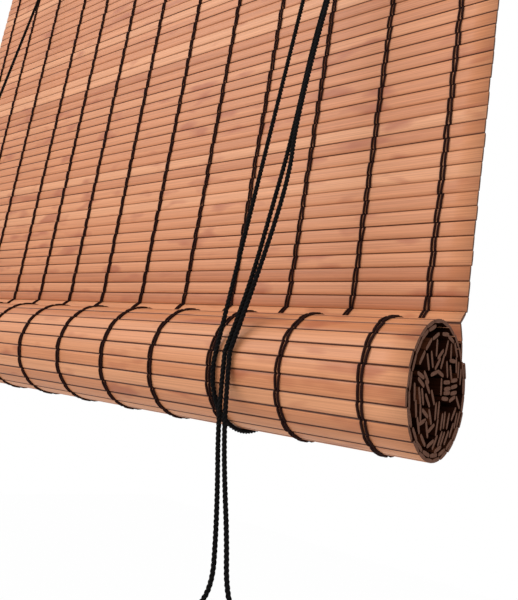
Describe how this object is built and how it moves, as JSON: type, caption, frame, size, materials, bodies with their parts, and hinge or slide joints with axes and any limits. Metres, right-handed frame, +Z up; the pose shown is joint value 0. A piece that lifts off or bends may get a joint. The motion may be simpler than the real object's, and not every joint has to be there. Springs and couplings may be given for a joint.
{
  "type": "roll-up bamboo blind",
  "caption": "Roll-up blind of woven bamboo slats with a head rail, lift cords, a cord lock and pull cords, shown partly raised.",
  "frame": {"origin": "middle of the head's back face, on the wall plane", "axes": "+X along the blind's width, +Z up, -Y towards the room, +Y into the wall"},
  "size_m": [0.6, 0.0898, 0.6634],
  "materials": {
    "rail_wood": "stained wood, satin",
    "bamboo": "split bamboo, satin, fine lengthwise grain",
    "bamboo_roll": "split bamboo, satin, dark cut ends",
    "thread": "twisted dark thread",
    "cord": "twisted black cord",
    "tie": "black tape",
    "screw_steel": "zinc plated",
    "bracket_steel": "bronze lacquer",
    "wheel_plastic": "dark brown, moulded",
    "cam_metal": "cast, worn"
  },
  "bodies": {
    "root": {"head_rail": "rail_wood", "back_strip": "rail_wood", "clamp_screws": "screw_steel", "hanger_left": "bracket_steel", "hanger_right": "bracket_steel", "hanger_screws": "screw_steel", "housing_screws": "screw_steel", "head_slats": "bamboo", "slat_01": "bamboo", "slat_02": "bamboo", "slat_03": "bamboo", "slat_04": "bamboo", "slat_05": "bamboo", "slat_06": "bamboo", "slat_07": "bamboo", "slat_08": "bamboo", "slat_09": "bamboo", "slat_10": "bamboo", "slat_11": "bamboo", "slat_12": "bamboo", "slat_13": "bamboo", "slat_14": "bamboo", "slat_15": "bamboo", "lower_slats": "bamboo", "threads_upper": "thread", "threads_lower": "thread", "pulley_housing": "bracket_steel", "pulley_axle": "screw_steel", "lock_housing": "bracket_steel", "guide_axle": "screw_steel", "lock_axle": "screw_steel", "cam_axle": "screw_steel", "lift_cord_front_left": "cord", "lift_cord_front_right": "cord", "lift_cord_back_left": "cord", "lift_cord_back_right": "cord", "anchor_eyes": "screw_steel", "anchor_knots": "cord", "rail_cord_left": "cord", "rail_cord_right": "cord", "pull_cord_upper_left": "cord", "pull_cord_upper_right": "cord"},
    "carriage": {"bend_slats": "bamboo", "threads_bend": "thread", "lift_cord_loop_left": "cord", "lift_cord_loop_right": "cord", "pull_cord_left": "cord", "pull_cord_right": "cord"},
    "rolled_mat": {"roll": "bamboo_roll", "roll_threads": "thread"},
    "left_pulley": {"pulley_wheel": "wheel_plastic"},
    "right_guide": {"guide_wheel": "wheel_plastic"},
    "lock_roller": {"lock_wheel": "wheel_plastic"},
    "cam": {"lock_cam": "cam_metal"},
    "pull_end": {"pull_cord_coil_left": "cord", "pull_cord_coil_right": "cord", "pull_cord_knot_left": "cord", "pull_cord_knot_right": "cord", "coil_tie": "tie"}
  },
  "joints": [
    {"name": "roll_lift", "type": "slide", "parent": "root", "child": "carriage", "axis": [0, 0, 1], "range_m": [0, 0.20671], "deforming": ["lower_slats", "threads_lower", "lift_cord_front_left", "lift_cord_front_right", "lift_cord_back_left", "lift_cord_back_right", "pull_cord_upper_left", "pull_cord_upper_right"]},
    {"name": "roll_turn", "type": "hinge", "parent": "carriage", "child": "rolled_mat", "pos_m": [0, -0.0418, -0.45745], "axis": [-1, 0, 0], "range_deg": [0, 360]},
    {"name": "left_pulley_turn", "type": "hinge", "parent": "root", "child": "left_pulley", "pos_m": [-0.1832, -0.029, -0.037], "axis": [0, 1, 0], "continuous": true},
    {"name": "guide_turn", "type": "hinge", "parent": "root", "child": "right_guide", "pos_m": [0.1978, -0.034, -0.037], "axis": [0, 1, 0], "continuous": true},
    {"name": "lock_roller_turn", "type": "hinge", "parent": "root", "child": "lock_roller", "pos_m": [0.2157, -0.0315, -0.037], "axis": [0, 1, 0], "continuous": true},
    {"name": "cam_release", "type": "hinge", "parent": "root", "child": "cam", "pos_m": [0.2326, -0.0315, -0.032], "axis": [0, -1, 0], "range_deg": [0, 30], "stiffness_Nm_per_rad": 0.02, "springref_deg": -22.92},
    {"name": "pull_travel", "type": "slide", "parent": "carriage", "child": "pull_end", "axis": [0, 0, -1], "range_m": [0, 0.62013], "deforming": ["pull_cord_left", "pull_cord_right"]}
  ],
  "couplings": [
    {"joint": "roll_turn", "follows": "roll_lift", "rad_per_m": 30.396},
    {"joint": "pull_travel", "follows": "roll_lift", "ratio": 3},
    {"joint": "left_pulley_turn", "follows": "roll_lift", "rad_per_m": 273.97},
    {"joint": "guide_turn", "follows": "roll_lift", "rad_per_m": 273.97},
    {"joint": "lock_roller_turn", "follows": "roll_lift", "rad_per_m": 273.97}
  ]
}
